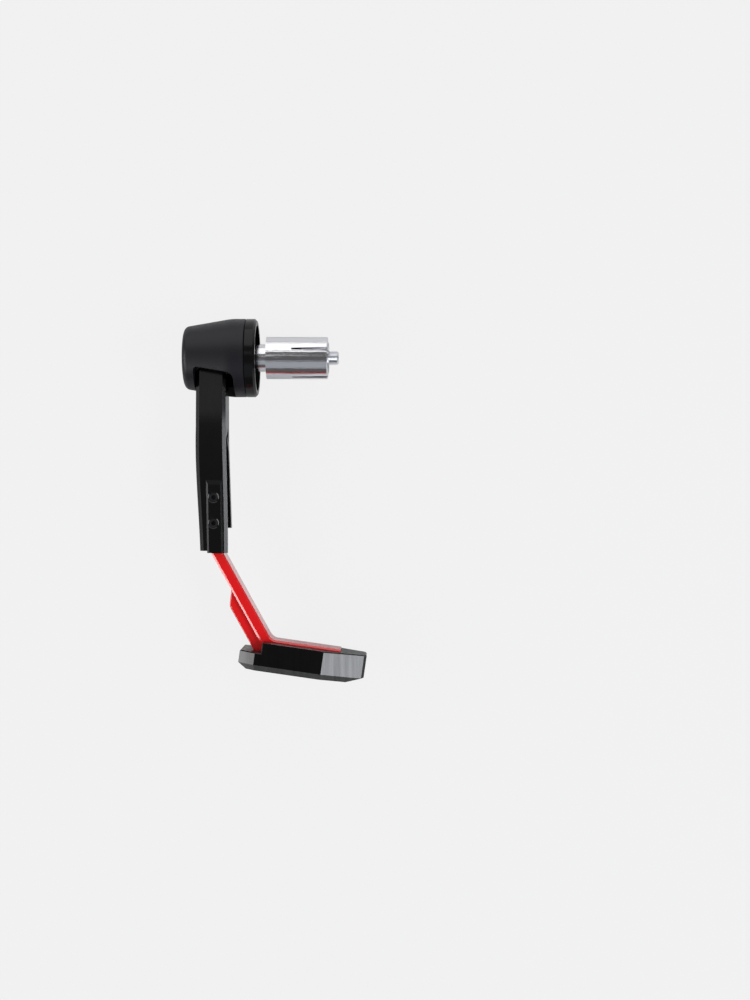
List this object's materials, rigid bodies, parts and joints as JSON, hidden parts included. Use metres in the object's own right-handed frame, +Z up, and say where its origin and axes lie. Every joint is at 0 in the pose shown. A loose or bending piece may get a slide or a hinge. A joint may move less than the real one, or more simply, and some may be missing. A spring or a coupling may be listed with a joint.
{
  "type": "brake lever guard",
  "caption": "Bar-end guard for a motorbike brake lever: slotted expander plug, tapered end cup, black arm, sliding red bracket and a curved-in blade in front of the lever tip.",
  "frame": {"origin": "on the handlebar's axis, at the shoulder where the expander sleeve starts", "axes": "+X along the bar towards the middle of the bike, +Y back to the rider, +Z up"},
  "size_m": [0.0781, 0.1553, 0.0336],
  "materials": {
    "satin_black": "satin black anodised",
    "gloss_black": "glossy black anodised",
    "blade_black": "polished black",
    "red_anodised": "glossy red anodised",
    "bright_aluminium": "bright turned",
    "zinc_steel": "bright zinc plated",
    "black_oxide_steel": "black oxide"
  },
  "bodies": {
    "bar_plug": {"expander_sleeve": "bright_aluminium", "expander_cone": "zinc_steel", "clamp_bolt": "zinc_steel", "bolt_washer": "zinc_steel", "inner_collar": "gloss_black"},
    "guard_arm": {"bar_end_cup": "satin_black", "main_arm": "gloss_black", "grub_screw_upper": "black_oxide_steel", "grub_screw_lower": "black_oxide_steel"},
    "reach_blade": {"reach_bracket": "red_anodised", "lever_blade": "blade_black", "blade_screw_near": "black_oxide_steel", "blade_screw_far": "black_oxide_steel"}
  },
  "joints": [
    {"name": "guard_swivel", "type": "hinge", "parent": "bar_plug", "child": "guard_arm", "pos_m": [0, 0, 0], "axis": [1, 0, 0], "continuous": true},
    {"name": "reach_slide", "type": "slide", "parent": "guard_arm", "child": "reach_blade", "axis": [0, -1, 0], "range_m": [0, 0.012]}
  ]
}
